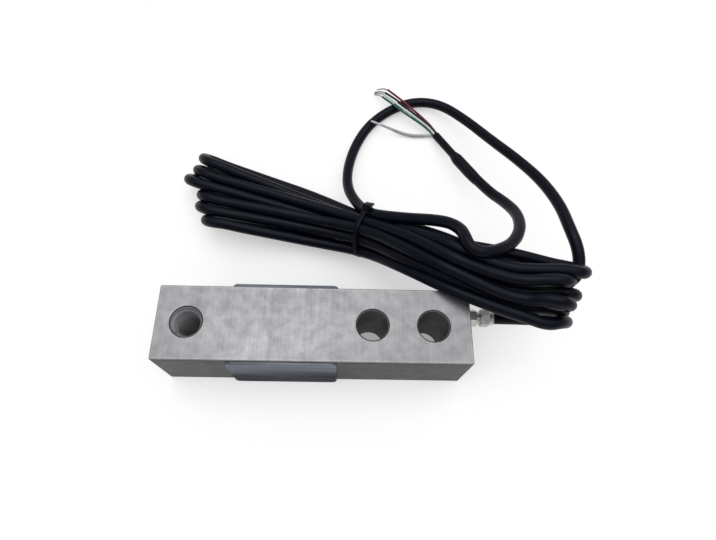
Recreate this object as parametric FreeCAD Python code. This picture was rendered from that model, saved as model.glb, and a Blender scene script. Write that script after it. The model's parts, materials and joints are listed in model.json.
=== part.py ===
import FreeCAD, Part
import math
import os

from FreeCAD import Rotation, Vector

# Cantilever shear beam load cell with its cable, in millimetres.
# +X runs along the beam from the load hole to the cable end, +Y to the back, +Z up.
# The origin lies on the bottom face, midway between the two fixing holes.

# Beam
beam_length = 130.0
beam_width = 31.8
beam_height = 31.8
edge_break = 0.4

# Holes on the beam's centre line
fixing_spacing = 25.4
fixing_dia = 13.0
fixing_chamfer = 0.6
cable_end_margin = 15.7
load_span = 76.2
load_thread_dia = 12.0
load_chamfer = 0.9

# Gauge pockets in both long sides, and the covers over them
pocket_offset = 39.3
pocket_length = 38.0
pocket_height = 20.0
web_thickness = 5.0
cover_length = 45.0
cover_height = 29.6
cover_rise = 1.8
cover_sheet = 0.8
cover_corner = 2.5
cover_edge_radius = 0.9

# Strain gauges: two foil grids at 45 degrees on one film
grid_length = 4.0
grid_bars = 5
grid_pitch = 0.6
grid_bar = 0.35
grid_foil = 0.1
grid_angle = 45.0
film_margin = 0.5
film_thickness = 0.2

# Bridge wires from the front gauge through the web
bridge_hole_dia = 3.6
bridge_hole_gap = 4.0
bridge_wire_dia = 0.5
bridge_wire_pitch = 0.7
bridge_wires = 4
bridge_wire_gap = 0.1
bridge_bend = 0.8

# Terminal board and compensation resistors in the rear pocket
board_gap = 2.0
board_length = 8.5
board_height = 11.0
board_thickness = 1.0
resistor_dia = 1.8
resistor_length = 4.5
resistor_spacing = 5.4
resistor_inset = 2.0
resistor_seat = 0.2

# Wiring bore from the rear pocket to the cable end, with the cable's four leads
wiring_bore_dia = 3.0
wiring_wall = 1.8
wiring_height = 14.0
lead_dia = 1.1
lead_pitch = 1.15
lead_bend = 2.2
lead_pad_inset = 1.6
lead_pad_spacing = 2.4

# Cable gland
gland_thread_dia = 6.0
gland_shank = 6.5
gland_hole_spare = 0.5
washer_dia = 8.2
washer_thickness = 0.8
gland_flats = 7.0
gland_hex_length = 5.9
gland_hex_chamfer = 0.4
neck_dia = 5.6
neck_showing = 1.8
neck_inside = 2.1
seal_thickness = 0.8
nut_length = 4.0
collar_dia = 6.2
collar_length = 2.1
collar_edge = 0.3

# Cable, tie and end sleeve
cable_dia = 5.3
tie_width = 2.2
tie_thickness = 1.1
tie_turn = -22.0
tie_head = Vector(3.6, 4.4, 3.0)
tie_head_across = 5.0
tie_head_sink = 1.0
sleeve_wall = 0.6
sleeve_on_cable = 21.0
sleeve_shoulder = 1.8
sleeve_thin_dia = 4.9
sleeve_on_wires = 21.0

# Bared end: insulated wires, tinned tips and the shield's pigtail
wire_dia = 1.2
tip_dia = 0.75
tip_length = 4.5
shield_dia = 1.4
wire_start_run = 3.8

# Share of a run that each arc at its ends takes up, and how near an edge lies to the plane it is picked by
arc_share = 0.45
pick_reach = 0.04

# Places worked out from the sizes
x_cable_end = fixing_spacing / 2 + cable_end_margin
x_load_end = x_cable_end - beam_length
x_fixing = (-fixing_spacing / 2, fixing_spacing / 2)
x_load = -fixing_spacing / 2 - load_span
x_pocket = x_load + pocket_offset
z_middle = beam_height / 2
y_side = beam_width / 2
y_web = web_thickness / 2
y_bridge_wire = y_web + bridge_wire_gap + bridge_wire_dia / 2
y_wiring = fixing_dia / 2 + wiring_wall + wiring_bore_dia / 2
grid_span = (grid_length + (grid_bars - 1) * grid_pitch + grid_bar) * math.sin(math.radians(grid_angle))
film_length = 2 * grid_span + 3 * film_margin
film_height = grid_span + 2 * film_margin
x_film_left = x_pocket - film_length / 2
x_film_right = x_pocket + film_length / 2
x_bridge_hole = x_film_left - bridge_hole_gap
x_board_left = x_film_right + board_gap
x_board_right = x_board_left + board_length
y_board = y_web + board_thickness
x_hex = x_cable_end + washer_thickness
x_neck = x_hex + gland_hex_length
x_nut = x_neck + neck_showing
x_seal = x_nut + neck_inside
x_jacket = x_seal + seal_thickness
x_collar = x_nut + nut_length

# Lead: from the gland straight out, then up into the hank's right end
lead_route = [
    Vector(x_jacket, y_wiring, wiring_height),
    Vector(50.0, y_wiring, wiring_height),
    Vector(60.5, 9.4, 14.6),
    Vector(68.0, 6.8, 21.8),
    Vector(68.3, 2.9, 32.4),
]

# Tail: from the hank's right end down to the floor and round to the tie, along the hank, through it
# and down to the bared end
tail_route = [
    Vector(77.0, 22.5, 37.5),
    Vector(76.2, 33.7, 37.6),
    Vector(75.1, 43.7, 36.3),
    Vector(74.2, 59.2, 32.7),
    Vector(69.8, 75.6, 27.6),
    Vector(62.1, 91.8, 21.5),
    Vector(51.7, 108.3, 15.5),
    Vector(40.1, 126.7, 9.6),
    Vector(28.2, 140.3, 5.4),
    Vector(14.2, 144.0, 3.2),
    Vector(0.1, 137.9, 2.7),
    Vector(-12.3, 126.5, 2.7),
    Vector(-19.9, 111.9, 2.8),
    Vector(-23.9, 95.5, 4.8),
    Vector(-24.0, 80.3, 8.8),
    Vector(-18.6, 67.1, 14.4),
    Vector(-12.7, 57.5, 20.6),
    Vector(-1.5, 50.5, 28.0),
    Vector(12.0, 48.0, 36.0),
    Vector(21.0, 45.0, 39.5),
    Vector(26.0, 39.0, 41.5),
    Vector(27.0, 32.5, 40.0),
    Vector(33.5, 30.0, 39.5),
    Vector(41.5, 31.0, 40.5),
    Vector(49.0, 36.0, 39.2),
    Vector(53.5, 45.3, 35.9),
    Vector(54.7, 56.0, 29.5),
    Vector(52.2, 66.3, 23.0),
    Vector(34.0, 102.5, 9.9),
]

# Hank: front, back, bottom and top of its outline, and the outline's corner radius, along X
hank_sections = [
    (-104.5, 62.5, 94.0, 3.2, 9.4, 3.0),
    (-102.0, 59.2, 97.4, 0.8, 11.7, 4.0),
    (-96.0, 57.6, 99.2, 0.0, 12.6, 4.0),
    (-75.0, 56.0, 95.5, 0.0, 13.2, 4.0),
    (-46.0, 49.5, 79.6, 2.4, 17.5, 5.0),
    (-15.6, 40.5, 62.5, 5.2, 25.0, 5.0),
    (2.0, 27.5, 50.0, 16.8, 36.0, 6.0),
    (19.4, 12.9, 40.7, 28.6, 47.2, 6.0),
    (46.0, -0.6, 33.4, 28.0, 48.6, 6.0),
    (66.0, -2.8, 28.0, 28.4, 48.6, 6.0),
    (73.5, -0.4, 25.4, 30.6, 47.0, 6.0),
    (76.5, 3.0, 22.6, 34.0, 44.0, 4.0),
]
tie_section = hank_sections[5]

# Bared wires and shield: place on the sleeve's end face (across, up), then the points each passes
wire_routes = {
    "wire_red": (
        (1.2, 0.4),
        [(11.7, 131.4, 9.6), (1.4, 142.3, 9.6), (-2.5, 149.6, 5.0), (-6.6, 152.0, 3.4)],
    ),
    "wire_black": (
        (0.3, 1.4),
        [(10.4, 130.3, 9.9), (0.2, 141.0, 9.9), (-3.6, 147.8, 5.2), (-8.0, 150.6, 3.6)],
    ),
    "wire_white": (
        (-1.1, 1.0),
        [(8.7, 129.6, 9.6), (-1.2, 140.0, 9.6), (-4.8, 146.3, 5.0), (-9.1, 148.9, 3.4)],
    ),
    "wire_green": (
        (-1.3, -0.4),
        [(7.0, 128.7, 9.4), (-2.7, 138.8, 9.4), (-6.2, 144.6, 5.0), (-10.4, 147.3, 3.4)],
    ),
}
shield_place = (0.1, -1.5)
shield_points = [
    (16.6, 121.6, 1.2),
    (10.8, 120.8, 1.4),
    (4.8, 119.8, 4.0),
    (-2.9, 119.1, 9.2),
    (-11.6, 123.9, 9.2),
]


def rod(dia, start, end):
    run = end - start
    return Part.makeCylinder(dia / 2, run.Length, start, run)


def block(x0, x1, y0, y1, z0, z1):
    return Part.makeBox(x1 - x0, y1 - y0, z1 - z0, Vector(x0, y0, z0))


def cut_all(shape, tools):
    for tool in tools:
        shape = shape.cut(tool)
    return shape


def smooth_path(points, bend=None):
    """Straight runs joined by tangent arcs of the given bend, or each as large as its runs allow."""
    edges = []
    radii = []
    start = points[0]
    for before, corner, after in zip(points, points[1:], points[2:]):
        into = (corner - before).normalize()
        out = (after - corner).normalize()
        half_turn = into.getAngle(out) / 2
        room = arc_share * min((corner - before).Length, (after - corner).Length)
        radius = bend or room / math.tan(half_turn)
        setback = radius * math.tan(half_turn)
        inward = (out - into).normalize()
        entry = corner - into * setback
        leave = corner + out * setback
        middle = corner + inward * (radius / math.cos(half_turn) - radius)
        edges.append(Part.LineSegment(start, entry).toShape())
        edges.append(Part.Arc(entry, middle, leave).toShape())
        radii.append(radius)
        start = leave
    edges.append(Part.LineSegment(start, points[-1]).toShape())
    return Part.Wire(edges), radii


def swept(path, points, dia):
    ring = Part.Wire(Part.makeCircle(dia / 2, points[0], points[1] - points[0]))
    return path.makePipeShell([ring], True, False)


def tube(name, points, dia):
    path, radii = smooth_path(points)
    solid = swept(path, points, dia)
    expected = path.Length * math.pi * dia ** 2 / 4
    sizes = ", ".join(f"{radius:.1f}" for radius in radii)
    print(f"{name}: {path.Length:.1f} mm long, volume {solid.Volume / expected:.4f} of section x length")
    print(f"{name}: radii {sizes} mm")
    return solid


def obround(length, height, y0, y1):
    """Flat-sided slot shape about the pocket's centre, from y0 to y1."""
    radius = height / 2
    half = length / 2 - radius
    low = z_middle - radius
    high = z_middle + radius
    right = x_pocket + half
    left = x_pocket - half
    low_right = Vector(right, y0, low)
    high_right = Vector(right, y0, high)
    high_left = Vector(left, y0, high)
    low_left = Vector(left, y0, low)
    outline = Part.Wire([
        Part.LineSegment(low_left, low_right).toShape(),
        Part.Arc(low_right, Vector(right + radius, y0, z_middle), high_right).toShape(),
        Part.LineSegment(high_right, high_left).toShape(),
        Part.Arc(high_left, Vector(left - radius, y0, z_middle), low_left).toShape(),
    ])
    return Part.Face(outline).extrude(Vector(0, y1 - y0, 0))


def hexagon(flats, x0, length, corner_up):
    """Hexagon bar about the gland's axis, with its corners turned down at both ends."""
    reach = flats / math.sqrt(3)
    first = 90 if corner_up else 60
    corners = []
    for step in range(7):
        angle = math.radians(first + 60 * step)
        across = y_wiring + reach * math.cos(angle)
        corners.append(Vector(x0, across, wiring_height + reach * math.sin(angle)))
    bar = Part.Face(Part.makePolygon(corners)).extrude(Vector(length, 0, 0))
    turned = Part.makeCylinder(reach, length, Vector(x0, y_wiring, wiring_height), Vector(1, 0, 0))
    rims = [edge for edge in turned.Edges if isinstance(edge.Curve, Part.Circle)]
    return bar.common(turned.makeChamfer(gland_hex_chamfer, rims))


def on_axis(dia, x0, x1):
    return rod(dia, Vector(x0, y_wiring, wiring_height), Vector(x1, y_wiring, wiring_height))


def chamfered_hole(x, dia, chamfer):
    """Through hole down the beam, with a chamfer at the top face."""
    hole = rod(dia, Vector(x, 0, 0), Vector(x, 0, beam_height))
    top = Vector(x, 0, beam_height)
    return hole.fuse(Part.makeCone(dia / 2 + chamfer, dia / 2, chamfer, top, Vector(0, 0, -1)))


def make_beam():
    bar = block(x_load_end, x_cable_end, -y_side, y_side, 0, beam_height)
    bar = bar.makeChamfer(edge_break, bar.Edges)
    bores = [chamfered_hole(x, fixing_dia, fixing_chamfer) for x in x_fixing]
    bores.append(chamfered_hole(x_load, load_thread_dia, load_chamfer))
    pockets = [obround(pocket_length, pocket_height, side * y_web, side * y_side) for side in (-1, 1)]
    bridge_hole = rod(
        bridge_hole_dia, Vector(x_bridge_hole, -y_web, z_middle), Vector(x_bridge_hole, y_web, z_middle)
    )
    wiring = on_axis(wiring_bore_dia, x_pocket, x_cable_end)
    gland_hole = on_axis(gland_thread_dia, x_cable_end - gland_shank - gland_hole_spare, x_cable_end)
    return cut_all(bar, bores + pockets + [bridge_hole, wiring, gland_hole])


def make_cover(side):
    """Shallow pressed tray whose rim sits on the beam's side."""
    x0 = x_pocket - cover_length / 2
    z0 = z_middle - cover_height / 2
    low, high = sorted((side * y_side, side * (y_side + cover_rise)))
    tray = block(x0, x0 + cover_length, low, high, z0, z0 + cover_height)
    upright = [edge for edge in tray.Edges if edge.BoundBox.YLength > cover_rise / 2]
    tray = tray.makeFillet(cover_corner, upright)
    face_y = side * (y_side + cover_rise)
    rim = [edge for edge in tray.Edges if abs(edge.CenterOfMass.y - face_y) < pick_reach]
    tray = tray.makeFillet(cover_edge_radius, rim)
    floor_y = side * (y_side + cover_rise - cover_sheet)
    low, high = sorted((side * y_side, floor_y))
    hollow = block(
        x0 + cover_sheet, x0 + cover_length - cover_sheet, low, high,
        z0 + cover_sheet, z0 + cover_height - cover_sheet,
    )
    upright = [edge for edge in hollow.Edges if edge.BoundBox.YLength > (cover_rise - cover_sheet) / 2]
    return tray.cut(hollow.makeFillet(cover_corner - cover_sheet, upright))


def make_gauge(side):
    """Film bonded to the web, with two foil grids at right angles to each other."""
    low, high = sorted((side * y_web, side * (y_web + film_thickness)))
    film = block(
        x_film_left, x_film_right, low, high, z_middle - film_height / 2, z_middle + film_height / 2
    )
    base = side * (y_web + film_thickness)
    low, high = sorted((base, base + side * grid_foil))
    for way in (-1, 1):
        centre = Vector(x_pocket + way * (grid_span + film_margin) / 2, base, z_middle)
        for bar in range(grid_bars):
            offset = (bar - (grid_bars - 1) / 2) * grid_pitch
            foil = block(
                centre.x - grid_length / 2, centre.x + grid_length / 2, low, high,
                z_middle + offset - grid_bar / 2, z_middle + offset + grid_bar / 2,
            )
            foil.rotate(centre, Vector(0, 1, 0), way * grid_angle)
            film = film.fuse(foil)
    return film.removeSplitter()


def bridge_wire_heights():
    return [z_middle + (step - (bridge_wires - 1) / 2) * bridge_wire_pitch for step in range(bridge_wires)]


def make_bridge_wires():
    """Fine wires from the front gauge's edge, through the web, to the rear gauge's edge."""
    wires = []
    for z in bridge_wire_heights():
        points = [
            Vector(x_film_left, -y_bridge_wire, z),
            Vector(x_bridge_hole, -y_bridge_wire, z),
            Vector(x_bridge_hole, y_bridge_wire, z),
            Vector(x_film_left, y_bridge_wire, z),
        ]
        path, radii = smooth_path(points, bridge_bend)
        wires.append(swept(path, points, bridge_wire_dia))
    return Part.makeCompound(wires)


def make_board_links():
    """Fine wires from the rear gauge's edge to the terminal board's edge."""
    links = []
    for z in bridge_wire_heights():
        start = Vector(x_film_right, y_bridge_wire, z)
        links.append(rod(bridge_wire_dia, start, Vector(x_board_left, y_bridge_wire, z)))
    return Part.makeCompound(links)


def make_board():
    bottom = z_middle - board_height / 2
    return block(x_board_left, x_board_right, y_web, y_board, bottom, bottom + board_height)


def make_resistor(way, board):
    """Wound resistor bedded on the terminal board."""
    x = x_board_left + resistor_inset
    y = y_board + resistor_dia / 2 - resistor_seat
    z = z_middle + way * resistor_spacing / 2
    half = Vector(0, 0, resistor_length / 2)
    return rod(resistor_dia, Vector(x, y, z) - half, Vector(x, y, z) + half).cut(board)


def make_inner_lead(across, up):
    """Cable lead from the jacket's end through gland and bore, bent down onto its pad."""
    y = y_wiring + across * lead_pitch / 2
    z = wiring_height + up * lead_pitch / 2
    pad = x_board_right - lead_pad_inset - (lead_pad_spacing if across > 0 else 0)
    points = [Vector(x_jacket, y, z), Vector(pad, y, z), Vector(pad, y_board, z)]
    path, radii = smooth_path(points, lead_bend)
    return swept(path, points, lead_dia)


def make_gland_washer():
    ring = on_axis(washer_dia, x_cable_end, x_hex)
    return ring.cut(on_axis(gland_thread_dia, x_cable_end, x_hex))


def make_gland_body():
    """Turned body: shank in the beam, hexagon, and the neck that the nut goes on."""
    shank = on_axis(gland_thread_dia, x_cable_end - gland_shank, x_hex)
    neck = on_axis(neck_dia, x_neck, x_seal)
    body = shank.fuse(hexagon(gland_flats, x_hex, gland_hex_length, False)).fuse(neck)
    return body.cut(on_axis(wiring_bore_dia, x_cable_end - gland_shank, x_seal))


def make_gland_seal():
    ring = on_axis(neck_dia, x_seal, x_jacket)
    return ring.cut(on_axis(wiring_bore_dia, x_seal, x_jacket))


def make_gland_nut():
    """Hexagon nut over the neck and the seal, with a round collar about the cable."""
    x_end = x_collar + collar_length
    collar = on_axis(collar_dia, x_collar, x_end)
    mouth = [edge for edge in collar.Edges if abs(edge.CenterOfMass.x - x_end) < pick_reach]
    collar = collar.makeChamfer(collar_edge, mouth)
    nut = hexagon(gland_flats, x_nut, nut_length, True).fuse(collar)
    nut = nut.cut(on_axis(neck_dia, x_nut, x_jacket))
    return nut.cut(on_axis(cable_dia, x_jacket, x_end))


def hank_outline(section, grow):
    x, front, back, bottom, top, radius = section
    radius = radius + grow
    centres = [
        (back + grow - radius, top + grow - radius),
        (front - grow + radius, top + grow - radius),
        (front - grow + radius, bottom - grow + radius),
        (back + grow - radius, bottom - grow + radius),
    ]
    arcs = []
    for quarter, (y, z) in enumerate(centres):
        points = []
        for eighth in range(3):
            angle = math.radians(90 * quarter + 45 * eighth)
            points.append(Vector(x, y + radius * math.cos(angle), z + radius * math.sin(angle)))
        arcs.append(points)
    edges = []
    for quarter, points in enumerate(arcs):
        following = arcs[(quarter + 1) % 4][0]
        edges.append(Part.Arc(*points).toShape())
        edges.append(Part.LineSegment(points[2], following).toShape())
    return Part.Wire(edges)


def hank_shape(grow):
    """Outer shape of the tied hank: fanned at its left end, gathered at the tie, raised over the beam."""
    return Part.makeLoft([hank_outline(section, grow) for section in hank_sections], True, False)


def make_hank(beam, lead, tail):
    long_side = 4 * beam_length
    above = block(-long_side, long_side, -long_side, long_side, 0, long_side)
    return cut_all(hank_shape(0).common(above), [beam, lead, tail])


def make_tie(tail):
    """Tie drawn tight round the hank, with its head on top at the back."""
    x, front, back, bottom, top, radius = tie_section
    centre = Vector(x, (front + back) / 2, (bottom + top) / 2)
    side = 2 * (back - front)
    slab = Part.makeBox(tie_width, side, side, centre - Vector(tie_width / 2, side / 2, side / 2))
    slab.rotate(centre, Vector(0, 0, 1), tie_turn)
    band = hank_shape(tie_thickness).common(slab)
    corner = Vector(x - tie_width / 2, centre.y + tie_head_across - tie_head.y / 2, top - tie_head_sink)
    head = Part.makeBox(tie_head.x, tie_head.y, tie_head.z, corner)
    head.rotate(centre, Vector(0, 0, 1), tie_turn)
    return cut_all(band.fuse(head), [hank_shape(0), tail])


def sleeve_frame():
    """The bared end's axis, with the ways across it and up."""
    along = (tail_route[-1] - tail_route[-2]).normalize()
    across = along.cross(Vector(0, 0, 1)).normalize()
    up = across.cross(along)
    return along, across, up


def make_sleeve():
    """Shrunk sleeve: over the cable's end, a shoulder, and thin over the wires beyond."""
    along, across, up = sleeve_frame()
    bore = cable_dia / 2
    thick = bore + sleeve_wall
    thin = sleeve_thin_dia / 2
    outline = [
        (bore, -sleeve_on_cable), (thick, -sleeve_on_cable), (thick, 0), (thin, sleeve_shoulder),
        (thin, sleeve_on_wires), (0, sleeve_on_wires), (0, 0), (bore, 0), (bore, -sleeve_on_cable),
    ]
    profile = Part.Face(Part.makePolygon([Vector(r, 0, h) for r, h in outline]))
    sleeve = profile.revolve(Vector(0, 0, 0), Vector(0, 0, 1), 360)
    sleeve.Placement = FreeCAD.Placement(tail_route[-1], Rotation(Vector(0, 0, 1), along))
    return sleeve


def wire_points(place, points):
    """Route of one bared wire, square out of the sleeve's end face and then by its points."""
    along, across, up = sleeve_frame()
    start = tail_route[-1] + along * sleeve_on_wires + across * place[0] + up * place[1]
    return [start, start + along * wire_start_run] + [Vector(*point) for point in points]


def make_tips():
    """Tinned end of each bared wire."""
    tips = []
    for place, points in wire_routes.values():
        route = wire_points(place, points)
        way = (route[-1] - route[-2]).normalize()
        tips.append(rod(tip_dia, route[-1], route[-1] + way * tip_length))
    return Part.makeCompound(tips)


beam = make_beam()
parts = {"beam": beam}
parts["front_cover"] = make_cover(-1)
parts["rear_cover"] = make_cover(1)
parts["front_gauge"] = make_gauge(-1)
parts["rear_gauge"] = make_gauge(1)
parts["bridge_wires"] = make_bridge_wires()
parts["board_links"] = make_board_links()
parts["terminal_board"] = make_board()
parts["span_resistor"] = make_resistor(1, parts["terminal_board"])
parts["zero_resistor"] = make_resistor(-1, parts["terminal_board"])
for colour, across, up in (("red", -1, 1), ("black", 1, 1), ("green", -1, -1), ("white", 1, -1)):
    parts["inner_lead_" + colour] = make_inner_lead(across, up)
in_front = [parts["front_gauge"], parts["bridge_wires"]]
outside = ("beam", "front_cover", "rear_cover", "front_gauge")
in_rear = [shape for name, shape in parts.items() if name not in outside]
parts["front_potting"] = cut_all(obround(pocket_length, pocket_height, -y_web, -y_side), in_front)
parts["rear_potting"] = cut_all(obround(pocket_length, pocket_height, y_web, y_side), in_rear)
parts["gland_washer"] = make_gland_washer()
parts["gland_body"] = make_gland_body()
parts["gland_seal"] = make_gland_seal()
parts["gland_nut"] = make_gland_nut()
parts["cable_lead"] = tube("cable_lead", lead_route, cable_dia)
parts["cable_tail"] = tube("cable_tail", tail_route, cable_dia)
parts["cable_hank"] = make_hank(beam, parts["cable_lead"], parts["cable_tail"])
parts["hank_tie"] = make_tie(parts["cable_tail"])
parts["end_sleeve"] = make_sleeve()
for name, (place, points) in wire_routes.items():
    parts[name] = tube(name, wire_points(place, points), wire_dia)
parts["wire_tips"] = make_tips()
shield_route = wire_points(shield_place, shield_points)
parts["shield_pigtail"] = tube("shield_pigtail", shield_route, shield_dia)

os.makedirs("parts", exist_ok=True)
for name, shape in parts.items():
    shape.exportStep(f"parts/{name}.step")
    print(f"{name}: {len(shape.Solids)} solid(s), {shape.Volume:.1f} mm3, valid {shape.isValid()}")
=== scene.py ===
import bmesh
import bpy
import json
import math
from mathutils import Matrix, Vector


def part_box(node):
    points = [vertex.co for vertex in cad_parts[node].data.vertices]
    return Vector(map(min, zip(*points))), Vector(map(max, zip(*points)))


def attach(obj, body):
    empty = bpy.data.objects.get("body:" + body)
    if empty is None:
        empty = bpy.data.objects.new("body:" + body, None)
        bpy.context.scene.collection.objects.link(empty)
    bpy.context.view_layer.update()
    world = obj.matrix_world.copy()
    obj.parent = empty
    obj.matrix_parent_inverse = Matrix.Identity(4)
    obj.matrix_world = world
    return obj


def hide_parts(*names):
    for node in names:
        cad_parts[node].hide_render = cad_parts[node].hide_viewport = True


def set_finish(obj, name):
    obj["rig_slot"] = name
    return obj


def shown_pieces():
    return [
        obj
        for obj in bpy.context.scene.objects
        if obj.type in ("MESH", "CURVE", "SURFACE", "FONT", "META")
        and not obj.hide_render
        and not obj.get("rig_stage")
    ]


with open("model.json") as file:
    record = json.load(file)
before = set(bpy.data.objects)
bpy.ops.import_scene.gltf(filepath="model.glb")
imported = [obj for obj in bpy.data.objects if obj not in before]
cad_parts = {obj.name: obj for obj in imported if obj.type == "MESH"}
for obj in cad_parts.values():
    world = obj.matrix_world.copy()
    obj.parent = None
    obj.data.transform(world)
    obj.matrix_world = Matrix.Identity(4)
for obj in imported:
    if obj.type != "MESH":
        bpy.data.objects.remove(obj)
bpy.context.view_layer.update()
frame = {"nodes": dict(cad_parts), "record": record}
nodes = frame["nodes"]
mm = 0.001
print("frame loaded:", len(nodes), "nodes")


# camera and stage

cameraView = {
    "place": (-0.026453, -0.066189, 0.237366),  # metres
    "turn": (23.79, -2.25, 0.364),  # degrees
    "lens": 26.25,  # mm, as is the sensor
    "sensor": 36.0,
}


def makeCamera():
    data = bpy.data.cameras.new("camera")
    data.lens = cameraView["lens"]
    data.sensor_width = cameraView["sensor"]
    camera = bpy.data.objects.new("camera", data)
    camera.location = cameraView["place"]
    camera.rotation_euler = [math.radians(angle) for angle in cameraView["turn"]]
    bpy.context.scene.collection.objects.link(camera)
    bpy.context.scene.camera = camera


makeCamera()
bpy.context.scene.view_settings.view_transform = "Standard"


# node helpers

def newMaterial(name):
    material = bpy.data.materials.new(name)
    material.use_nodes = True
    tree = material.node_tree
    shader = tree.nodes["Principled BSDF"]
    return material, tree, shader


def addNode(tree, kind, **settings):
    node = tree.nodes.new(kind)
    for key, value in settings.items():
        setattr(node, key, value)
    return node


def spread(tree, value, low, high):
    node = addNode(tree, "ShaderNodeMapRange")
    node.inputs["From Min"].default_value = low
    node.inputs["From Max"].default_value = high
    tree.links.new(value, node.inputs["Value"])
    return node.outputs["Result"]


def combine(tree, operation, first, second):
    node = addNode(tree, "ShaderNodeMath", operation=operation)
    for socket, value in zip(node.inputs, (first, second)):
        if isinstance(value, float):
            socket.default_value = value
        else:
            tree.links.new(value, socket)
    return node.outputs[0]


def mixColours(tree, share, first, second):
    mix = addNode(tree, "ShaderNodeMix", data_type="RGBA")
    tree.links.new(share, mix.inputs["Factor"])
    for socket, colour in ((mix.inputs[6], first), (mix.inputs[7], second)):
        if isinstance(colour, tuple):
            socket.default_value = colour + (1.0,)
        else:
            tree.links.new(colour, socket)
    return mix.outputs[2]


stage = {  # metres and watts
    "floorSize": 3.0,
    "floorColour": (0.40, 0.41, 0.405),
    "floorPaintedShade": (0.16, 0.17, 0.165),  # painted shade, where the object nearly covers the floor
    "under": (0.20, 0.75),  # openness over which the floor goes from the painted shade to its own colour
    "shadeReach": 0.05,  # round the object the lit floor shows, and plain white further out
    "shadeOpen": (-0.36, 0.82),
    "shadeSamples": 16,
    "worldColour": (0.93, 0.96, 1.0, 1),
    "worldStrength": 0.45,
    "lamps": {
        "softbox": {
            "power": 5.0, "size": 1.1, "place": (0.03, 0.22, 0.85), "aim": (-0.02, 0.03, 0.0),
        },
        "glow": {
            "power": 0.30, "size": 0.08, "place": (-0.122, 0.206, 0.65), "aim": (-0.05, 0.0, 0.03),
        },
    },
}


def seenRays(tree):
    rays = addNode(tree, "ShaderNodeLightPath")
    first = combine(tree, "MAXIMUM", rays.outputs["Is Camera Ray"], rays.outputs["Is Glossy Ray"])
    return combine(tree, "MAXIMUM", first, rays.outputs["Is Transmission Ray"])


def makeFloor():
    bm = bmesh.new()
    bmesh.ops.create_grid(bm, x_segments=1, y_segments=1, size=stage["floorSize"])
    mesh = bpy.data.meshes.new("floor")
    bm.to_mesh(mesh)
    bm.free()
    floor = bpy.data.objects.new("floor", mesh)
    bpy.context.scene.collection.objects.link(floor)
    material = bpy.data.materials.new("paleFloor")
    material.use_nodes = True
    tree = material.node_tree
    tree.nodes.clear()
    lit = addNode(tree, "ShaderNodeBsdfDiffuse")
    white = addNode(tree, "ShaderNodeEmission")
    nearby = addNode(tree, "ShaderNodeAmbientOcclusion", samples=stage["shadeSamples"])
    nearby.inputs["Distance"].default_value = stage["shadeReach"]
    clear = spread(tree, nearby.outputs["AO"], *stage["shadeOpen"])
    # the lit floor's colour darkens where the object nearly covers it: painted shade
    outsidePaintedShade = spread(tree, nearby.outputs["AO"], *stage["under"])
    colour = mixColours(tree, outsidePaintedShade, stage["floorPaintedShade"], stage["floorColour"])
    tree.links.new(colour, lit.inputs["Color"])
    mix = addNode(tree, "ShaderNodeMixShader")
    out = addNode(tree, "ShaderNodeOutputMaterial")
    tree.links.new(combine(tree, "MULTIPLY", seenRays(tree), clear), mix.inputs[0])
    tree.links.new(lit.outputs[0], mix.inputs[1])
    tree.links.new(white.outputs[0], mix.inputs[2])
    tree.links.new(mix.outputs[0], out.inputs["Surface"])
    mesh.materials.append(material)
    floor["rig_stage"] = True


def makeLights():
    world = bpy.data.worlds.new("studio")
    world.use_nodes = True
    back = world.node_tree.nodes["Background"]
    back.inputs["Color"].default_value = stage["worldColour"]
    back.inputs["Strength"].default_value = stage["worldStrength"]
    bpy.context.scene.world = world

    for name, lamp in stage["lamps"].items():
        light = bpy.data.lights.new(name, "AREA")
        light.shape = "SQUARE"
        light.size = lamp["size"]
        light.energy = lamp["power"]
        placed = bpy.data.objects.new(name, light)
        placed.location = lamp["place"]
        aim = Vector(lamp["aim"]) - Vector(lamp["place"])
        placed.rotation_euler = aim.to_track_quat("-Z", "Y").to_euler()
        bpy.context.scene.collection.objects.link(placed)


makeFloor()
makeLights()
print("stage ready")


# cords

cordMesh = {"bevelSteps": 4, "order": 3}

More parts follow.
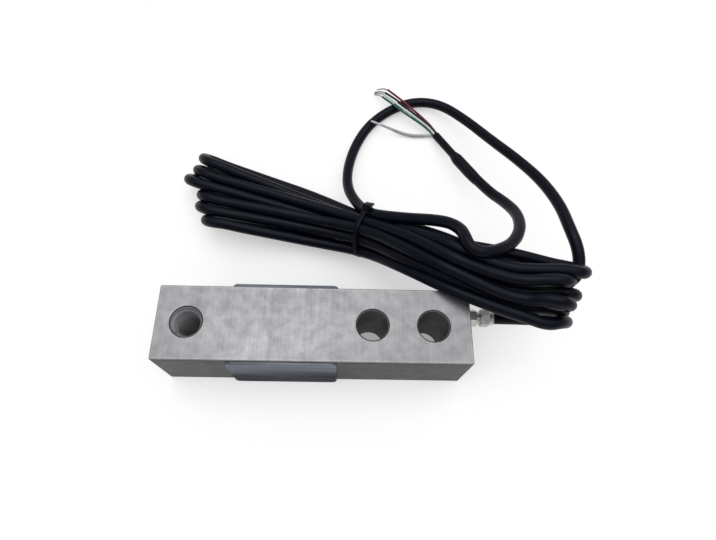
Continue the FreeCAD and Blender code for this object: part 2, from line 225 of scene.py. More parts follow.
cable = {  # mm and degrees
    "diameter": 5.3,
    "smoothness": 8,
    "lead": [  # from the gland, up and round the first fold
        (39.8, 9.8, 14.0), (50.0, 9.8, 14.0), (60.5, 9.4, 14.6), (69.0, 6.8, 21.8),
        (69.3, 2.7, 32.0), (63.6, 0.3, 39.0), (56.9, -1.2, 40.0),
    ],
    "stations": (-76.0, -63.6, -39.8, -14.6, 2.4, 19.0, 38.5, 49.0),  # x, along the hank
    "strands": [  # (y, z) of each strand at the stations, in the order the cable runs
        [(53.8, 13.6), (52.4, 11.5), (49.8, 7.4), (43.4, 11.3),
         (28.4, 25.9), (14.8, 36.2), (5.6, 38.7), (1.9, 39.6)],
        [(61.0, 2.8), (58.3, 2.9), (53.0, 3.2), (45.9, 6.2),
         (32.9, 19.9), (21.6, 32.2), (18.4, 29.2), (16.0, 23.0)],
        [(59.7, 14.3), (58.0, 13.4), (54.6, 11.8), (46.7, 16.7),
         (31.2, 29.5), (19.9, 37.7), (10.4, 36.2), (7.6, 33.0)],
        [(67.0, 3.6), (64.0, 4.8), (58.1, 7.4), (49.1, 11.7),
         (36.2, 24.2), (27.0, 33.8), (24.1, 32.0), (17.2, 32.2)],
        [(65.2, 15.2), (62.8, 15.4), (58.0, 15.6), (49.6, 22.0),
         (34.3, 34.0), (20.6, 43.0), (10.9, 41.9), (8.2, 42.8)],
        [(72.5, 2.8), (68.7, 2.9), (61.3, 3.2), (51.5, 6.1),
         (40.9, 18.8), (32.4, 33.8), (29.5, 32.2), (22.4, 28.8)],
        [(71.3, 14.0), (68.1, 13.2), (62.0, 11.8), (51.9, 16.7),
         (39.0, 28.5), (25.2, 40.4), (16.0, 37.4), (13.0, 38.6)],
        [(77.8, 4.0), (73.4, 5.2), (64.5, 7.4), (54.7, 11.0),
         (44.6, 23.6), (30.8, 40.2), (21.6, 37.2), (19.6, 35.8)],
        [(76.6, 15.2), (72.8, 15.1), (65.6, 15.0), (54.0, 21.6),
         (41.6, 33.3), (24.8, 46.0), (17.6, 44.2), (15.0, 46.0)],
        [(83.1, 2.8), (77.9, 2.9), (67.7, 3.2), (56.9, 6.2),
         (48.5, 18.3), (38.0, 34.2), (33.8, 35.6), (31.6, 36.4)],
        [(82.8, 14.2), (78.2, 13.2), (69.2, 11.4), (56.2, 16.1),
         (47.4, 28.9), (31.0, 45.4), (22.6, 43.6), (20.2, 45.4)],
        [(91.1, 3.4), (86.0, 4.2), (76.2, 6.0), (61.0, 11.4),
         (51.8, 23.2), (36.4, 40.4), (28.2, 37.0), (28.0, 34.2)],
    ],
    "foldStep": 45.0,  # between the points of a fold, counted from its start
    "foldCount": 6,
    "leftStart": 67.5,
    "rightStart": -112.5,
    # each fold's centre, radius, heading and lean to the front
    "leftFolds": [
        (-85.3, 59.2, 9.0, 7.6, -6.0, 35.0), (-89.4, 66.0, 9.0, 7.6, -14.0, 35.0),
        (-89.5, 72.3, 9.0, 7.6, -16.0, 35.0), (-97.0, 81.1, 9.0, 7.6, -18.0, 35.0),
        (-93.4, 86.2, 9.0, 7.6, -22.0, 35.0), (-91.5, 93.1, 9.1, 7.7, -24.0, 35.0),
    ],
    "rightFolds": [
        (64.0, 11.0, 24.4, 7.0, -8.0, 22.0), (59.0, 8.2, 41.9, 7.2, -14.0, 20.0),
        (66.4, 15.8, 33.2, 7.0, -14.0, 22.0), (60.2, 17.0, 42.6, 7.0, -4.0, 22.0),
        (68.1, 23.6, 40.6, 7.4, -10.0, 34.0),
    ],
    "tail": [  # from the last strand, round the loop and back over the hank into the sleeve
        (59.0, 25.8, 31.0), (67.0, 22.8, 30.0), (73.2, 21.4, 29.4), (77.4, 24.4, 31.0),
        (77.9, 30.2, 34.0), (76.8, 36.6, 36.4), (75.1, 44.5, 36.3), (74.2, 59.2, 32.7),
        (69.8, 75.6, 27.6), (62.1, 91.8, 21.5), (51.7, 108.3, 15.5), (40.1, 126.7, 9.6),
        (28.2, 140.3, 5.4), (14.2, 144.0, 3.0), (0.1, 137.9, 2.7), (-12.3, 126.5, 2.7),
        (-19.9, 111.9, 2.7), (-23.9, 95.5, 4.8), (-24.0, 80.3, 8.8), (-18.6, 67.1, 14.4),
        (-12.7, 57.9, 22.4), (-5.3, 53.4, 28.2), (4.8, 50.0, 32.6), (13.2, 46.9, 37.6),
        (20.2, 43.2, 42.0), (23.8, 38.2, 45.4), (24.6, 33.5, 47.9), (25.0, 30.6, 48.7),
        (26.4, 28.1, 49.0), (28.6, 26.5, 49.0), (31.3, 26.1, 48.8), (34.4, 26.8, 47.9),
        (38.8, 28.8, 46.0), (44.2, 32.2, 43.3), (49.2, 37.8, 40.3), (53.0, 45.8, 36.0),
        (54.7, 56.0, 29.5), (52.2, 66.3, 22.4), (46.0, 77.6, 15.2), (35.0, 98.6, 9.4),
    ],
}


def makeCord(name, points, diameter, smoothness):
    curve = bpy.data.curves.new(name, "CURVE")
    curve.dimensions = "3D"
    curve.bevel_depth = 1.0 if diameter > 0 else 0.0  # each point's radius is the cord's own
    curve.bevel_resolution = cordMesh["bevelSteps"]
    curve.use_fill_caps = True
    spline = curve.splines.new("NURBS")
    spline.points.add(len(points) - 1)
    for place, point in zip(spline.points, points):
        place.co = (point[0] * mm, point[1] * mm, point[2] * mm, 1)
        place.radius = diameter / 2 * mm
    spline.order_u = cordMesh["order"]  # set after the points, or the spline stays at straight runs
    spline.use_endpoint_u = True
    spline.resolution_u = smoothness
    cord = bpy.data.objects.new(name, curve)
    bpy.context.scene.collection.objects.link(cord)
    return cord


def foldPoints(fold, start):
    x, y, z, radius, heading, lean = fold
    step = cable["foldStep"]
    reach = radius / math.cos(math.radians(step / 2))
    aheadX = math.cos(math.radians(heading))
    aheadY = math.sin(math.radians(heading))
    riseY = -math.sin(math.radians(lean))
    riseZ = math.cos(math.radians(lean))
    points = []
    for count in range(cable["foldCount"]):
        angle = math.radians(start + step * count)
        rise = reach * math.sin(angle)
        along = reach * math.cos(angle)
        points.append((x + along * aheadX, y + along * aheadY + rise * riseY, z + rise * riseZ))
    return points


def cablePoints():
    points = list(cable["lead"])
    for count, strand in enumerate(cable["strands"]):
        run = [(x, y, z) for x, (y, z) in zip(cable["stations"], strand)]
        goesLeft = count % 2 == 0
        points += run[::-1] if goesLeft else run
        fold = count // 2
        if goesLeft:
            points += foldPoints(cable["leftFolds"][fold], cable["leftStart"])
        elif fold < len(cable["rightFolds"]):
            points += foldPoints(cable["rightFolds"][fold], cable["rightStart"])
    return points + cable["tail"]


cableCord = makeCord("cable", cablePoints(), cable["diameter"], cable["smoothness"])
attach(cableCord, "root")
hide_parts("cable_lead", "cable_hank", "cable_tail")
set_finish(cableCord, "cable_black")
print("cable laid")


# thin cords and the pieces that follow a cord's line

wires = {  # mm, as are the tips and the shield
    "diameter": 1.2,
    "smoothness": 10,
    "runs": {  # from inside the sleeve, over the cable's tail, to the end of the insulation
        "red": [
            (26.6, 118.8, 3.6), (23.8, 124.2, 3.6), (18.8, 129.5, 5.0),
            (10.9, 135.9, 6.9), (3.8, 143.4, 6.9), (-1.4, 150.4, 4.6),
        ],
        "black": [
            (26.0, 118.7, 4.5), (23.1, 123.9, 4.6), (18.1, 128.3, 5.2),
            (9.7, 134.4, 7.1), (2.7, 141.6, 7.1), (-2.9, 148.0, 4.8),
        ],
        "white": [
            (25.2, 118.2, 4.1), (22.3, 123.3, 4.1), (17.3, 127.5, 5.0),
            (8.5, 133.3, 6.9), (1.5, 140.1, 6.9), (-3.4, 146.8, 4.4),
        ],
        "green": [
            (25.1, 118.0, 3.0), (22.1, 122.9, 3.0), (16.6, 126.8, 4.6),
            (7.3, 132.3, 6.7), (0.4, 138.8, 6.7), (-4.6, 145.5, 4.2),
        ],
    },
}

tips = {
    "strands": 5,
    "strandDiameter": 0.36,
    "twist": 1.6,  # turns over the tip's length
    "sides": 6,
    "spread": 0.3,
    "taper": 0.3,  # share of the spread lost at the end
    "smoothness": 6,
    "runs": {
        "red": [(-0.6, 149.2, 4.9), (-2.6, 151.4, 4.1), (-4.9, 152.3, 3.4), (-7.6, 152.0, 2.6)],
        "black": [(-2.1, 147.0, 5.1), (-4.0, 149.2, 4.2), (-6.2, 150.2, 3.4), (-9.0, 150.3, 2.4)],
        "white": [(-2.8, 145.8, 4.8), (-4.4, 148.0, 4.0), (-6.4, 149.1, 3.2), (-8.7, 149.7, 2.2)],
        "green": [(-3.9, 144.4, 4.6), (-5.4, 146.6, 3.8), (-7.3, 148.0, 3.0), (-9.3, 148.9, 2.2)],
    },
}

shield = {
    "strands": 7,
    "strandDiameter": 0.5,
    "twist": 5.0,
    "sides": 6,
    "spread": 0.52,
    "narrow": 0.75,  # share of the spread at the ends, and what the middle adds
    "swell": 0.75,
    "swellRate": 1.1,  # the swell is over a little before the end
    "smoothness": 12,
    "run": [
        (25.8, 118.6, 2.0), (22.9, 121.4, 1.5), (18.7, 120.9, 1.4), (10.8, 120.7, 1.4),
        (4.6, 122.4, 2.0), (-0.1, 122.8, 4.2), (-5.4, 123.1, 6.9), (-11.4, 125.9, 6.7),
    ],
}


def readLine(points, smoothness, closed=False):
    cord = makeCord("line", points, 0.0, smoothness)
    if closed:
        cord.data.splines[0].use_endpoint_u = False
        cord.data.splines[0].use_cyclic_u = True
    curve = cord.data
    mesh = bpy.data.meshes.new_from_object(cord)
    line = [vertex.co.copy() for vertex in mesh.vertices]
    bpy.data.meshes.remove(mesh)
    bpy.data.objects.remove(cord)
    bpy.data.curves.remove(curve)
    return line


def lineFrames(line):
    along = (line[1] - line[0]).normalized()
    side = along.orthogonal().normalized()
    frames = []
    for count, place in enumerate(line):
        ahead = line[min(count + 1, len(line) - 1)]
        behind = line[max(count - 1, 0)]
        turned = (ahead - behind).normalized()
        side = along.rotation_difference(turned) @ side
        along = turned
        matrix = Matrix((side, along.cross(side), along)).transposed().to_4x4()
        matrix.translation = place
        frames.append(matrix)
    return frames


def bridgeTube(bm, frames, radii, sides):
    loops = []
    for matrix, radius in zip(frames, radii):
        ring = bmesh.ops.create_circle(bm, segments=sides, radius=radius, matrix=matrix)["verts"]
        loops.append(list(dict.fromkeys(edge for vertex in ring for edge in vertex.link_edges)))
    for first, second in zip(loops, loops[1:]):
        bmesh.ops.bridge_loops(bm, edges=first + second)
    for end in (loops[0], loops[-1]):
        bmesh.ops.edgeloop_fill(bm, edges=end)


def addPiece(name, bm, slotName, smooth=True):
    bmesh.ops.recalc_face_normals(bm, faces=bm.faces)
    for face in bm.faces:
        face.smooth = smooth
    mesh = bpy.data.meshes.new(name)
    bm.to_mesh(mesh)
    bm.free()
    piece = bpy.data.objects.new(name, mesh)
    bpy.context.scene.collection.objects.link(piece)
    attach(piece, "root")
    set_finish(piece, slotName)
    return piece


def twistStrands(name, line, spec, slotName, swell):
    frames = lineFrames(line)
    last = len(frames) - 1
    bm = bmesh.new()
    for strand in range(spec["strands"]):
        strandLine = []
        for count, matrix in enumerate(frames):
            turn = 2 * math.pi * (strand / spec["strands"] + spec["twist"] * count / last)
            reach = spec["spread"] * mm * swell(count / last)
            strandLine.append(matrix @ Vector((reach * math.cos(turn), reach * math.sin(turn), 0)))
        radius = spec["strandDiameter"] / 2 * mm
        bridgeTube(bm, lineFrames(strandLine), [radius] * len(frames), spec["sides"])
    return addPiece(name, bm, slotName)


def tipSwell(share):
    return 1.0 - tips["taper"] * share


def makeWires():
    for colour, run in wires["runs"].items():
        wire = makeCord(colour + "Wire", run, wires["diameter"], wires["smoothness"])
        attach(wire, "root")
        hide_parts("wire_" + colour)
        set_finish(wire, "wire_" + colour)
        tipLine = readLine(tips["runs"][colour], tips["smoothness"])
        tip = twistStrands(colour + "Tip", tipLine, tips, "tinned", tipSwell)
        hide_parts("wire_tips")


def shieldSwell(share):
    risen = math.sin(math.pi * min(share * shield["swellRate"], 1.0))
    return shield["narrow"] + shield["swell"] * risen


def makeShield():
    line = readLine(shield["run"], shield["smoothness"])
    braid = twistStrands("shieldPigtail", line, shield, "braid", shieldSwell)
    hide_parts("shield_pigtail")


makeWires()
makeShield()
print("wires and shield laid")


# shrink sleeve over the jacket's end and the wires

sleeve = {  # mm
    "tip": (24.9, 120.5, 3.0),
    "tailPoints": 4,  # last points of the cable that it follows
    "length": 42.0,
    "onWires": 23.6,
    "shoulder": 6.0,
    "thickDiameter": 6.0,
    "thinDiameter": 4.2,
    "start": 8.0,  # length over which it thins onto the jacket
    "rim": 0.3,
    "rimSlope": 0.5,
    "sides": 28,
    "smoothness": 48,
}


def sleeveRadius(back):
    thin = sleeve["thinDiameter"] / 2
    thick = sleeve["thickDiameter"] / 2
    share = (back - sleeve["onWires"] + sleeve["shoulder"]) / sleeve["shoulder"]
    share = min(max(share, 0.0), 1.0)
    radius = thin + (thick - thin) * share * share * (3 - 2 * share)  # eased at both ends
    fromStart = (sleeve["length"] - back) / sleeve["start"]
    if fromStart < 1.0:
        radius -= (thick - cable["diameter"] / 2) * (1.0 - max(fromStart, 0.0)) ** 2
    if back < sleeve["rim"]:
        radius -= sleeve["rimSlope"] * (sleeve["rim"] - back)
    return radius * mm


def makeSleeve():
    run = cable["tail"][-sleeve["tailPoints"]:] + [sleeve["tip"]]
    line = readLine(run, sleeve["smoothness"])[::-1]
    back = 0.0
    places = []
    radii = []
    for count, place in enumerate(line):
        if count > 0:
            back += (place - line[count - 1]).length / mm
        if back > sleeve["length"]:
            break
        places.append(place)
        radii.append(sleeveRadius(back))
    bm = bmesh.new()
    bridgeTube(bm, lineFrames(places), radii, sleeve["sides"])
    piece = addPiece("endSleeve", bm, "sleeve_black")
    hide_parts("end_sleeve")
    return piece


# thin tie round the hank

tie = {  # mm and degrees
    "centre": (-15.6, 51.5, 15.1),
    "facing": (0.86, -0.42, 0.28),
    "outline": [  # round the strands in the tie's own plane, back and up
        (10.9, -1.6), (9.9, 7.6), (7.2, 10.6), (2.0, 10.8), (-2.8, 10.4),
        (-5.4, 8.6), (-8.3, 3.4), (-11.0, -2.6), (-10.6, -5.8), (-7.2, -10.6),
        (-4.0, -11.3), (0.0, -10.7), (5.6, -10.0), (8.8, -8.0),
    ],
    "width": 2.3,
    "thickness": 0.9,
    "edge": 0.2,
    "edgeSteps": 2,
    "sharpAngle": 60,
    "head": (4.6, 3.6, 3.0),  # along the strap, across it, and its height
    "headPlace": (8.6, 10.2),
    "headTurn": -38.0,
    "headEdge": 0.5,
    "blockSteps": 3,
    "stub": (2.6, 2.0, 0.9),
    "stubOverlap": 1.4,  # so that it reaches into the head
    "smoothness": 8,
}


def tieFrame():
    facing = Vector(tie["facing"]).normalized()
    back = Vector((0, 0, 1)).cross(facing).normalized()
    matrix = Matrix((back, facing.cross(back), facing)).transposed().to_4x4()
    matrix.translation = Vector(tie["centre"]) * mm
    return matrix


def sharpEdges(bm, angle):
    return [edge for edge in bm.edges if edge.calc_face_angle(0.0) > math.radians(angle)]


def roundEdges(bm, edges, size, segments):
    bmesh.ops.bevel(
        bm, geom=edges, offset=size * mm, segments=segments, profile=0.5,
        affect="EDGES", material=-1, clamp_overlap=True,
    )


def joinInto(bm, other):
    mesh = bpy.data.meshes.new("joined")
    other.to_mesh(mesh)
    other.free()
    bm.from_mesh(mesh)
    bpy.data.meshes.remove(mesh)


def roundedBlock(size, matrix, edge):
    bm = bmesh.new()
    scale = Matrix.Diagonal((size[0] * mm, size[1] * mm, size[2] * mm, 1))
    bmesh.ops.create_cube(bm, size=1.0, matrix=matrix @ scale)
    roundEdges(bm, bm.edges[:], edge, tie["blockSteps"])
    return bm


def makeTie():
    place = tieFrame()
    outline = [place @ Vector((a * mm, b * mm, 0)) / mm for a, b in tie["outline"]]
    line = readLine([tuple(point) for point in outline], tie["smoothness"], closed=True)
    bm = bmesh.new()
    ring = [bm.verts.new(point) for point in line]
    for first, second in zip(ring, ring[1:] + ring[:1]):
        bm.edges.new((first, second))
    across = place.col[2].to_3d() * tie["width"] * mm
    bmesh.ops.translate(bm, verts=ring, vec=-across / 2)
    made = bmesh.ops.extrude_edge_only(bm, edges=bm.edges[:])["geom"]
    raised = [item for item in made if isinstance(item, bmesh.types.BMVert)]
    bmesh.ops.translate(bm, verts=raised, vec=across)
    bmesh.ops.recalc_face_normals(bm, faces=bm.faces)
    bmesh.ops.solidify(bm, geom=bm.faces[:], thickness=tie["thickness"] * mm)
    roundEdges(bm, sharpEdges(bm, tie["sharpAngle"]), tie["edge"], tie["edgeSteps"])

    a, b = tie["headPlace"]
    headPlace = place @ Matrix.Translation((a * mm, b * mm, 0))
    headPlace = headPlace @ Matrix.Rotation(math.radians(tie["headTurn"]), 4, "Z")
    length, width, height = tie["head"]
    joinInto(bm, roundedBlock((length, height, width), headPlace, tie["headEdge"]))
    stubLength, stubWidth, stubHeight = tie["stub"]
    stubPlace = headPlace @ Matrix.Translation(((length + stubLength) / 2 * mm, 0, 0))
    stubSize = (stubLength * tie["stubOverlap"], stubHeight, stubWidth)
    joinInto(bm, roundedBlock(stubSize, stubPlace, tie["edge"]))
    piece = addPiece("hankTie", bm, "tie_black")
    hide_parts("hank_tie")
    return piece


makeSleeve()
makeTie()
print("sleeve and tie on the cable")


# thread of the load hole

thread = {  # mm
    "x": -88.9,
    "pitch": 1.75,
    "rootRadius": 6.04,
    "crestRadius": 5.15,
    "rootWidth": 1.5,
    "crestWidth": 0.35,
    "from": 1.0,
    "to": 30.1,
    "stepsPerTurn": 32,
}


def makeThread():
    bm = bmesh.new()
    root, crest = thread["rootWidth"] / 2, thread["crestWidth"] / 2
    profile = [
        (thread["rootRadius"], -root), (thread["crestRadius"], -crest),
        (thread["crestRadius"], crest), (thread["rootRadius"], root),
    ]
    corners = []
    for radius, rise in profile:
        corners.append(bm.verts.new(((thread["x"] + radius) * mm, 0, (thread["from"] + rise) * mm)))
    face = bm.faces.new(corners)
    turns = (thread["to"] - thread["from"]) / thread["pitch"]
    steps = int(turns * thread["stepsPerTurn"])
    bmesh.ops.spin(
        bm, geom=[face] + face.edges[:] + face.verts[:], cent=(thread["x"] * mm, 0, 0), axis=(0, 0, 1),
        dvec=(0, 0, thread["pitch"] / thread["stepsPerTurn"] * mm),
        angle=2 * math.pi * steps / thread["stepsPerTurn"], steps=steps,
    )
    addPiece("loadThread", bm, "plated_steel", smooth=False)


makeThread()
print("thread cut")


# looks, colours in linear values

plainLook = {"metallic": 0.0, "specular": 0.5, "slantTint": 1.0, "bumpDistance": 0.0002}

noiseLook = {
    "scale": 100.0,  # until a material gives its own
    "patchDetail": 4.0,
    "patchRoughness": 0.6,
    "patchSpread": (0.34, 0.66),
    "grainDetail": 2.0,
    "grainFiner": 22.0,  # times as fine as the patches
    "grainSpread": (0.30, 0.70),
    "lineDetail": 3.0,
    "lineSpread": (0.32, 0.68),
}

steel = {  # bands and depths in mm, from the beam's outside inwards
    "dark": (0.215, 0.213, 0.219),
    "light": (0.348, 0.343, 0.352),
    "metallic": 0.6,
    "specular": 0.1,
    "slantTint": 0.20,  # weakens what the sides mirror of the floor, seen at a slant
    "rough": (0.44, 0.29),
    "cloud": 26.0,
    "mottle": 230.0,
    "mottleShare": 0.55,
    "lines": 900.0,
    "lineStretch": 0.03,
    "lineShare": 0.20,
    "lineBump": 0.3,
    # the sides are painted darker than the top: painted shade
    "sideShadeTone": 0.82,
    # the holes' walls are painted a little darker than the top: painted shade
    "boreShadeTone": 0.96,
    "boreInset": 1.2,  # further in than this, an upright face is a hole's wall
    # broken edges painted lighter than the faces: painted highlight
    "brokenEdgeHighlightTone": 1.3,
    "edgeDepth": 1.1,  # broken edges and chamfers lie this close to the top or the bottom
    "edgeSlope": (0.3, 0.6),
    "faceDepth": 0.05,
    "faceSlope": (0.8, 0.95),
    "chamferShadeTones": (1.0, 0.15),  # of a hole's chamfer, at its foot and at the top face, where it is darkened as painted shade
    "chamferBand": (0.7, 0.2),
    "shadowTone": 0.5,  # darker band on the sides, just below the top's broken edge
    "shadowBand": (1.98, 0.9),
    "rimHighlightGain": 0.5,  # painted highlight along the top face's borders
    "rimHighlightBand": (1.12, 0.42),
    "bump": 0.10,
}

coverSteel = {
    "sideDark": (0.022, 0.026, 0.036),
    "sideLight": (0.325, 0.350, 0.415),
    # the lip's flat top is painted darker than the sides' upper part: painted shade of the gap under
    # the beam's edge
    "lipShadeDark": (0.085, 0.092, 0.106),
    "lipShadeLight": (0.20, 0.21, 0.23),
    "lipSlope": (0.85, 0.99),
    "metallic": 0.6,
    "specular": 0.1,
    "slantTint": 0.20,
    "rise": (13, 26),  # heights in mm over which the sides lighten, a painted reflection lighter towards the top
    "reflectionRiseShare": 0.72,
    "left": (-52, -70),
    "leftReflectionGain": 0.8,  # painted reflection, lighter streaks towards the left
    "rough": (0.30, 0.46),
    "streaks": 160.0,
    "streakStretch": 0.14,
    "bump": 0.05,
}

insulation = {"rough": (0.28, 0.40), "patch": 220.0, "bump": 0.05}

finishes = {
    "nickel": {
        "dark": (0.60, 0.58, 0.55), "light": (0.86, 0.84, 0.80),
        "metallic": 0.45, "rough": (0.26, 0.40), "patch": 260.0, "bump": 0.05,
    },
    "cable_black": {
        "dark": (0.0014, 0.0021, 0.0065), "light": (0.0030, 0.0040, 0.0100),
        "rough": (0.32, 0.44), "patch": 140.0, "bump": 0.10, "specular": 0.14,
    },
    "tie_black": {
        "dark": (0.003, 0.0035, 0.006), "light": (0.006, 0.0065, 0.010),
        "rough": (0.34, 0.48), "patch": 200.0, "bump": 0.05, "specular": 0.10,
    },
    "sleeve_black": {
        "dark": (0.0030, 0.0036, 0.0070), "light": (0.0065, 0.0072, 0.0120),
        "rough": (0.36, 0.52), "patch": 160.0, "bump": 0.14, "specular": 0.12,
    },
    "wire_red": {
        "dark": (0.15, 0.006, 0.026), "light": (0.23, 0.010, 0.042), "specular": 0.3, **insulation,
    },
    "wire_black": {
        "dark": (0.006, 0.006, 0.008), "light": (0.012, 0.012, 0.014), "specular": 0.3, **insulation,
    },
    "wire_green": {
        "dark": (0.012, 0.085, 0.058), "light": (0.022, 0.130, 0.088), "specular": 0.3, **insulation,
    },
    "wire_white": {
        "dark": (0.60, 0.60, 0.60), "light": (0.74, 0.74, 0.74), **insulation,
    },
    "tinned": {
        "dark": (0.34, 0.35, 0.37), "light": (0.58, 0.59, 0.61),
        "metallic": 0.8, "rough": (0.30, 0.46), "patch": 500.0, "bump": 0.08,
    },
    "braid": {
        "dark": (0.44, 0.44, 0.44), "light": (0.66, 0.66, 0.66),
        "metallic": 0.6, "rough": (0.36, 0.52), "patch": 500.0, "bump": 0.08,
    },
    "seal_rubber": {
        "dark": (0.016, 0.016, 0.016), "light": (0.028, 0.028, 0.028),
        "rough": (0.55, 0.75), "patch": 200.0, "bump": 0.10,
    },
    "potting_rubber": {
        "dark": (0.46, 0.46, 0.44), "light": (0.58, 0.58, 0.56),
        "rough": (0.40, 0.58), "patch": 120.0, "bump": 0.08,
    },
    "gauge_film": {
        "dark": (0.52, 0.30, 0.07), "light": (0.66, 0.40, 0.11),
        "rough": (0.28, 0.42), "patch": 300.0, "bump": 0.04,
    },
    "board": {
        "dark": (0.025, 0.15, 0.055), "light": (0.045, 0.22, 0.085),
        "rough": (0.34, 0.48), "patch": 300.0, "bump": 0.05,
    },
    "resistor_body": {
        "dark": (0.20, 0.12, 0.065), "light": (0.29, 0.18, 0.10),
        "rough": (0.26, 0.38), "patch": 300.0, "bump": 0.04,
    },
    "enamel_wire": {
        "dark": (0.38, 0.15, 0.055), "light": (0.54, 0.23, 0.085),
        "metallic": 0.6, "rough": (0.26, 0.38), "patch": 400.0, "bump": 0.04,
    },
}


def newGroup(name, inputs, outputs):
    group = bpy.data.node_groups.new(name, "ShaderNodeTree")
    for label, value in inputs.items():
        socket = group.interface.new_socket(name=label, in_out="INPUT", socket_type="NodeSocketFloat")
        socket.default_value = value
    for label in outputs:
        group.interface.new_socket(name=label, in_out="OUTPUT", socket_type="NodeSocketFloat")
    return group, addNode(group, "NodeGroupInput"), addNode(group, "NodeGroupOutput")


def makePatchGroup():
    group, entry, leave = newGroup("patchAndGrain", {"Scale": noiseLook["scale"]}, ("Patch", "Grain"))
    place = addNode(group, "ShaderNodeTexCoord")
    patch = addNode(group, "ShaderNodeTexNoise")
    patch.inputs["Detail"].default_value = noiseLook["patchDetail"]
    patch.inputs["Roughness"].default_value = noiseLook["patchRoughness"]
    grain = addNode(group, "ShaderNodeTexNoise")
    grain.inputs["Detail"].default_value = noiseLook["grainDetail"]
    finer = combine(group, "MULTIPLY", entry.outputs["Scale"], noiseLook["grainFiner"])
    group.links.new(entry.outputs["Scale"], patch.inputs["Scale"])
    group.links.new(finer, grain.inputs["Scale"])
    for noise in (patch, grain):
        group.links.new(place.outputs["Object"], noise.inputs["Vector"])
    group.links.new(spread(group, patch.outputs[0], *noiseLook["patchSpread"]), leave.inputs["Patch"])
    group.links.new(spread(group, grain.outputs[0], *noiseLook["grainSpread"]), leave.inputs["Grain"])
    return group


def makeLineGroup():
    inputs = {"Scale": noiseLook["scale"], "Along X": 1.0, "Along Y": 1.0}
    group, entry, leave = newGroup("drawnLines", inputs, ("Lines",))
    place = addNode(group, "ShaderNodeTexCoord")
    stretch = addNode(group, "ShaderNodeCombineXYZ")
    stretched = addNode(group, "ShaderNodeVectorMath", operation="MULTIPLY")
    noise = addNode(group, "ShaderNodeTexNoise")
    noise.inputs["Detail"].default_value = noiseLook["lineDetail"]
    group.links.new(entry.outputs["Along X"], stretch.inputs["X"])
    group.links.new(entry.outputs["Along Y"], stretch.inputs["Y"])
    stretch.inputs["Z"].default_value = 1.0
    group.links.new(place.outputs["Object"], stretched.inputs[0])
    group.links.new(stretch.outputs[0], stretched.inputs[1])
    group.links.new(stretched.outputs[0], noise.inputs["Vector"])
    group.links.new(entry.outputs["Scale"], noise.inputs["Scale"])
    group.links.new(spread(group, noise.outputs[0], *noiseLook["lineSpread"]), leave.inputs["Lines"])
    return group


patchGroup = makePatchGroup()
lineGroup = makeLineGroup()


def mixValues(tree, share, first, second):
    mix = addNode(tree, "ShaderNodeMix", data_type="FLOAT")
    mix.inputs["Factor"].default_value = share
    tree.links.new(first, mix.inputs[2])
    tree.links.new(second, mix.inputs[3])
    return mix.outputs[0]


def placeGroup(tree, group, **values):
    node = addNode(tree, "ShaderNodeGroup", node_tree=group)
    for label, value in values.items():
        node.inputs[label.replace("_", " ")].default_value = value
    return node


def objectPlace(tree):
    place = addNode(tree, "ShaderNodeTexCoord")
    parts = addNode(tree, "ShaderNodeSeparateXYZ")
    tree.links.new(place.outputs["Object"], parts.inputs[0])
    return parts.outputs


def slopeOfFace(tree):
    faceWay = addNode(tree, "ShaderNodeNewGeometry")
    parts = addNode(tree, "ShaderNodeSeparateXYZ")
    tree.links.new(faceWay.outputs["True Normal"], parts.inputs[0])
    size = addNode(tree, "ShaderNodeMath", operation="ABSOLUTE")
    tree.links.new(parts.outputs["Z"], size.inputs[0])
    return size.outputs[0]


def toned(colour, share):
    return tuple(part * share for part in colour)


def finishSurface(tree, shader, colour, grain, height, ownLook):
    look = {**plainLook, **ownLook}
    tint = look["slantTint"]
    shader.inputs["Metallic"].default_value = look["metallic"]
    shader.inputs["Specular IOR Level"].default_value = look["specular"]
    shader.inputs["Specular Tint"].default_value = (tint, tint, tint, 1.0)
    tree.links.new(colour, shader.inputs["Base Color"])
    rough = addNode(tree, "ShaderNodeMapRange")
    rough.inputs["To Min"].default_value = look["rough"][0]
    rough.inputs["To Max"].default_value = look["rough"][1]
    tree.links.new(grain, rough.inputs["Value"])
    tree.links.new(rough.outputs["Result"], shader.inputs["Roughness"])
    bump = addNode(tree, "ShaderNodeBump")
    bump.inputs["Strength"].default_value = look["bump"]
    bump.inputs["Distance"].default_value = look["bumpDistance"]
    tree.links.new(height, bump.inputs["Height"])
    tree.links.new(bump.outputs["Normal"], shader.inputs["Normal"])


def makeFinish(name, look):
    material, tree, shader = newMaterial(name)
    tone = placeGroup(tree, patchGroup, Scale=look["patch"])
    colour = mixColours(tree, tone.outputs["Patch"], look["dark"], look["light"])
    finishSurface(tree, shader, colour, tone.outputs["Grain"], tone.outputs["Grain"], look)
    return material


def steelTone(tree, tone, share):
    return mixColours(tree, tone, toned(steel["dark"], share), toned(steel["light"], share))


def inwardBand(tree, value, border, band):
    return spread(tree, value, border - band[0] * mm, border - band[1] * mm)


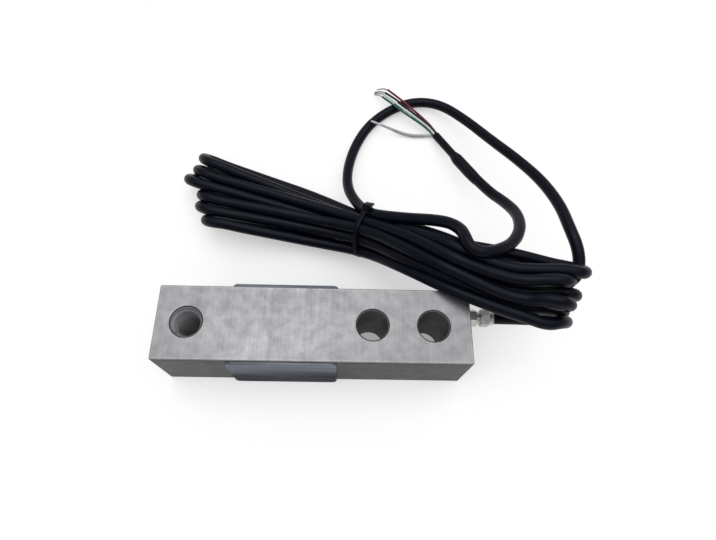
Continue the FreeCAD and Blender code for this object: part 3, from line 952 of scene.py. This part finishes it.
def steelColour(tree, tone):
    x, y, z = objectPlace(tree)
    aside = combine(tree, "ABSOLUTE", y, 0.0)
    low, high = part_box("beam")
    inset = steel["boreInset"] * mm

    # holes lie within the outline, so their walls and chamfers are told from the sides and edges
    within = combine(tree, "LESS_THAN", aside, high.y - inset)
    within = combine(tree, "MULTIPLY", within, combine(tree, "GREATER_THAN", x, low.x + inset))
    within = combine(tree, "MULTIPLY", within, combine(tree, "LESS_THAN", x, high.x - inset))
    # sides painted darker than the top, and the holes' walls a little darker: painted shade
    side = steelTone(tree, tone, steel["sideShadeTone"])
    bore = steelTone(tree, tone, steel["boreShadeTone"])
    upright = mixColours(tree, within, side, bore)
    line = inwardBand(tree, z, high.z, steel["shadowBand"])
    outside = combine(tree, "SUBTRACT", 1.0, within)
    shaded = toned(steel["dark"], steel["shadowTone"] * steel["sideShadeTone"])
    upright = mixColours(tree, combine(tree, "MULTIPLY", line, outside), upright, shaded)

    # a hole's chamfer darkens towards the top face: painted shade
    foot, brim = steel["chamferShadeTones"]
    chamfer = mixColours(
        tree, inwardBand(tree, z, high.z, steel["chamferBand"]),
        toned(steel["light"], foot), toned(steel["light"], brim),
    )
    # broken edges lighter than the faces: painted highlight
    edge = mixColours(tree, within, steelTone(tree, tone, steel["brokenEdgeHighlightTone"]), chamfer)

    # painted highlight along the top face's borders
    nearSide = inwardBand(tree, aside, high.y, steel["rimHighlightBand"])
    nearEnd = inwardBand(tree, x, high.x, steel["rimHighlightBand"])
    paintedRimHighlight = combine(tree, "MULTIPLY", combine(tree, "MAXIMUM", nearSide, nearEnd), steel["rimHighlightGain"])
    top = mixColours(tree, combine(tree, "ADD", tone, paintedRimHighlight), steel["dark"], steel["light"])

    # slope and height tell the broken edges and the flat faces from the upright ones
    slope = slopeOfFace(tree)
    middle = 0.5 * (low.z + high.z)
    fromMiddle = combine(tree, "ABSOLUTE", combine(tree, "SUBTRACT", z, middle), 0.0)
    atEdge = combine(tree, "GREATER_THAN", fromMiddle, middle - steel["edgeDepth"] * mm)
    atFace = combine(tree, "GREATER_THAN", fromMiddle, middle - steel["faceDepth"] * mm)
    atEdge = combine(tree, "MULTIPLY", spread(tree, slope, *steel["edgeSlope"]), atEdge)
    atFace = combine(tree, "MULTIPLY", spread(tree, slope, *steel["faceSlope"]), atFace)
    return mixColours(tree, atFace, mixColours(tree, atEdge, upright, edge), top)


def makeSteel():
    material, tree, shader = newMaterial("plated_steel")
    cloud = placeGroup(tree, patchGroup, Scale=steel["cloud"])
    mottle = placeGroup(tree, patchGroup, Scale=steel["mottle"])
    lines = placeGroup(tree, lineGroup, Scale=steel["lines"], Along_Y=steel["lineStretch"])
    tone = mixValues(tree, steel["mottleShare"], cloud.outputs["Patch"], mottle.outputs["Patch"])
    tone = mixValues(tree, steel["lineShare"], tone, lines.outputs["Lines"])
    height = mixValues(tree, steel["lineBump"], mottle.outputs["Grain"], lines.outputs["Lines"])
    finishSurface(tree, shader, steelColour(tree, tone), tone, height, steel)
    return material


def makeCoverSteel():
    material, tree, shader = newMaterial("cover_steel")
    tone = placeGroup(tree, patchGroup, Scale=coverSteel["streaks"])
    streaks = placeGroup(
        tree, lineGroup, Scale=coverSteel["streaks"], Along_X=coverSteel["streakStretch"],
    )
    x, _, z = objectPlace(tree)
    # the sides lighten upwards: painted reflection
    bottom, top = coverSteel["rise"]
    rise = spread(tree, z, bottom * mm, top * mm)
    shade = mixValues(tree, coverSteel["reflectionRiseShare"], streaks.outputs["Lines"], rise)
    # lighter streaks towards the left: painted reflection
    right, left = coverSteel["left"]
    leftReflection = combine(tree, "MULTIPLY", spread(tree, x, right * mm, left * mm), rise)
    leftReflection = combine(tree, "MULTIPLY", leftReflection, streaks.outputs["Lines"])
    shade = combine(tree, "ADD", shade, combine(tree, "MULTIPLY", leftReflection, coverSteel["leftReflectionGain"]))
    side = mixColours(tree, shade, coverSteel["sideDark"], coverSteel["sideLight"])
    # the lip's flat top darker: painted shade of the gap under the beam's edge
    lip = mixColours(tree, streaks.outputs["Lines"], coverSteel["lipShadeDark"], coverSteel["lipShadeLight"])
    colour = mixColours(tree, spread(tree, slopeOfFace(tree), *coverSteel["lipSlope"]), side, lip)
    finishSurface(tree, shader, colour, tone.outputs["Grain"], tone.outputs["Grain"], coverSteel)
    return material


def paintAll():
    materials = {slotName: makeFinish(slotName, look) for slotName, look in finishes.items()}
    materials["plated_steel"] = makeSteel()
    materials["cover_steel"] = makeCoverSteel()
    for part in frame["record"]["subparts"]:
        mesh = nodes[part["node"]].data
        for place in range(len(mesh.materials)):
            mesh.materials[place] = materials[part["material_slot"]]
    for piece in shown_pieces():
        if "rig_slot" in piece:
            piece.data.materials.clear()
            piece.data.materials.append(materials[piece["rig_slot"]])
    return materials


print("finishes set:", len(paintAll()))
